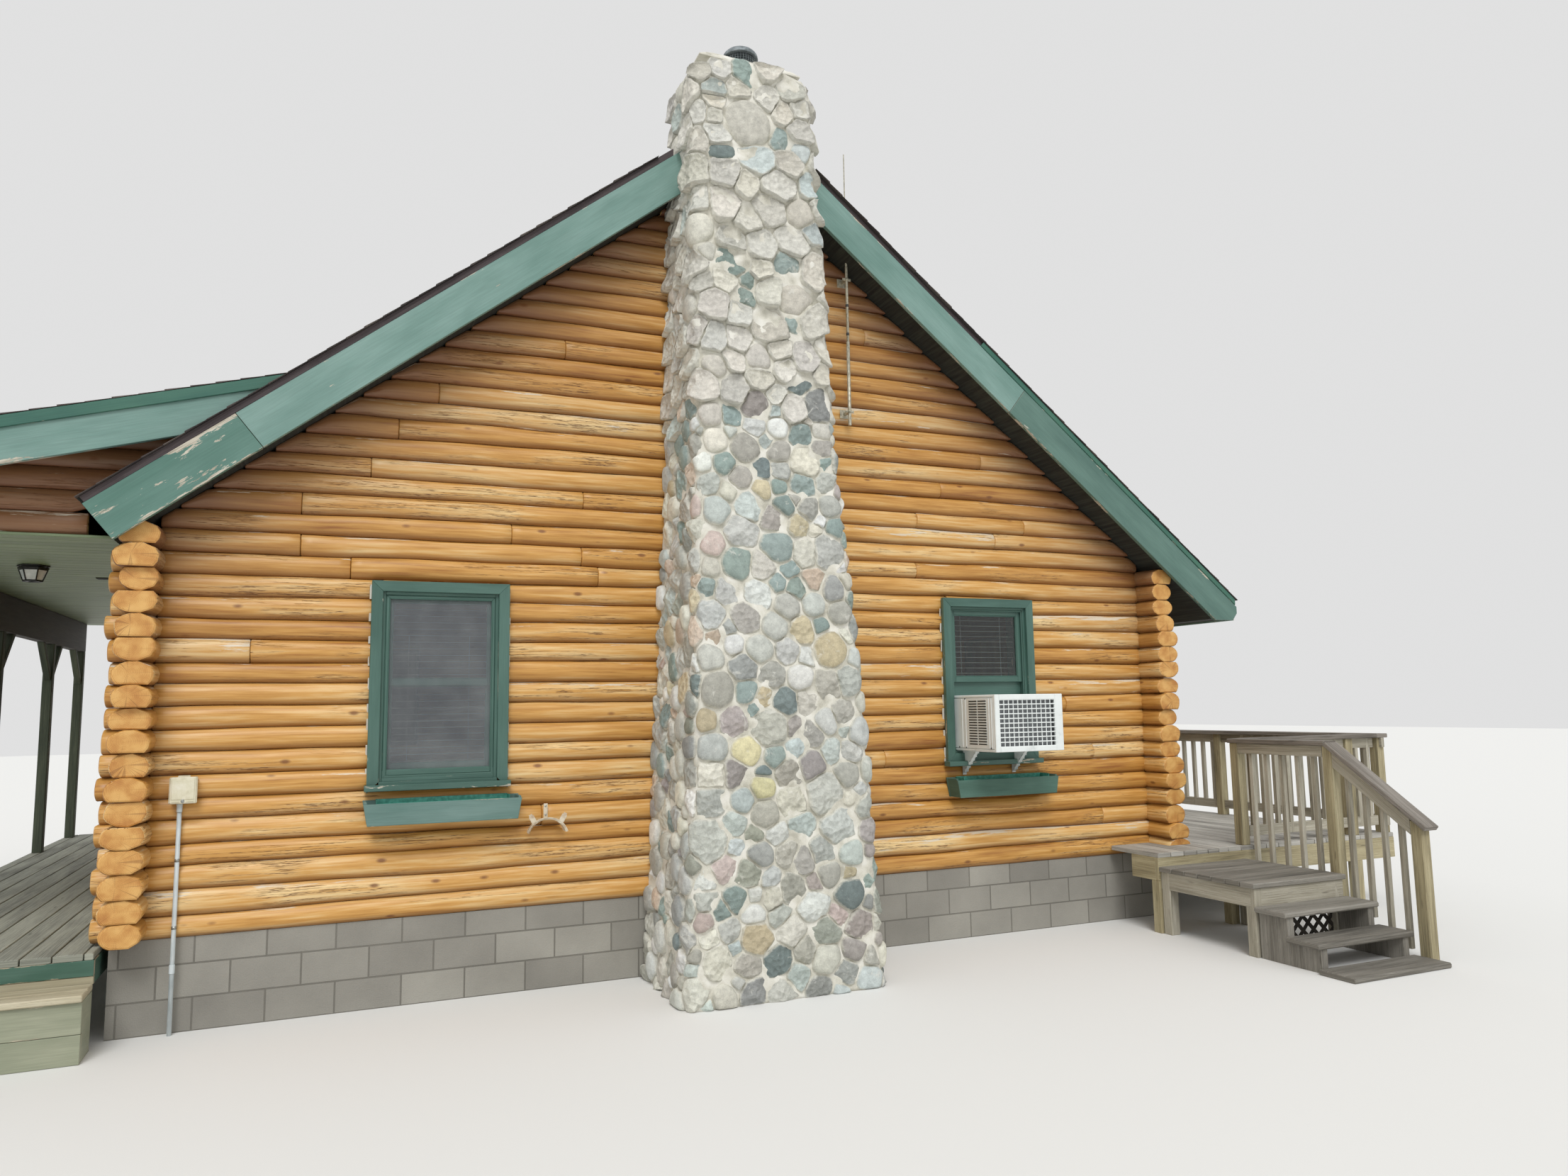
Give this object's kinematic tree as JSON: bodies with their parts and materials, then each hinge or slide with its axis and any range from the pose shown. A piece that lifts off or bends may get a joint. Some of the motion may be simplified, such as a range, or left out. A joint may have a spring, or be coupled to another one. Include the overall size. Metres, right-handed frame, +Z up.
{
  "type": "log cabin",
  "caption": "Round-log cabin with a steep gable roof, a fieldstone chimney on the front gable, a covered side porch and an open side deck with a stair",
  "frame": {"origin": "middle of the underside of the chimney foot, on the ground in front of the front gable", "axes": "+X along the front gable to the right as seen from outside, +Y into the house, +Z up"},
  "size_m": [12.188, 9.969, 7.0503],
  "materials": {
    "log_wood": "stained logs, semi-gloss",
    "rake_paint": "weathered green stain",
    "trim_green": "green painted wood",
    "deck_wood": "weathered boards",
    "rail_wood": "treated wood",
    "soffit_green": "dark green boards",
    "fieldstone": "rough mortared fieldstone",
    "mortar": "rough mortar",
    "block": "rough concrete block",
    "shingle": "mineral-faced shingles",
    "glass": "clear",
    "lamp": "black with frosted panes",
    "ac_shell": "baked cream paint",
    "bracket_steel": "grey paint",
    "utility_plastic": "weathered cream",
    "hanger_steel": "green paint",
    "mast_steel": "galvanized"
  },
  "bodies": {
    "root": {"foundation": "block", "house_floor": "deck_wood", "porch_side_wall": "log_wood", "deck_side_wall": "log_wood", "front_gable_wall": "log_wood", "back_gable_wall": "log_wood", "chimney": "fieldstone", "chimney_crown": "mortar", "right_roof_slope": "shingle", "left_roof_slope": "shingle", "front_rakes": "rake_paint", "back_rake": "rake_paint", "right_eave_fascia": "rake_paint", "porch_roof": "shingle", "porch_rakes": "rake_paint", "porch_eave_fascia": "rake_paint", "porch_ceiling": "soffit_green", "porch_end_infill": "log_wood", "porch_beam": "soffit_green", "porch_posts": "log_wood", "porch_floor": "deck_wood", "porch_frame": "trim_green", "porch_step": "deck_wood", "porch_light": "lamp", "deck_floor": "deck_wood", "deck_frame": "deck_wood", "floor_posts": "deck_wood", "deck_front_rail": "rail_wood", "deck_side_rail": "rail_wood", "deck_back_rail": "rail_wood", "stair_landing": "deck_wood", "stair_treads": "deck_wood", "stair_stringers": "deck_wood", "stair_rail": "rail_wood", "lattice": "rail_wood", "front_window_frames": "trim_green", "front_window_sashes": "trim_green", "other_windows": "trim_green", "window_glass": "glass", "window_filler": "trim_green", "air_conditioner": "ac_shell", "ac_brackets": "bracket_steel", "window_boxes": "trim_green", "utility_box": "utility_plastic", "hose_hanger": "hanger_steel", "antenna_mast": "mast_steel", "porch_door": "trim_green", "deck_door": "trim_green"}
  },
  "joints": []
}
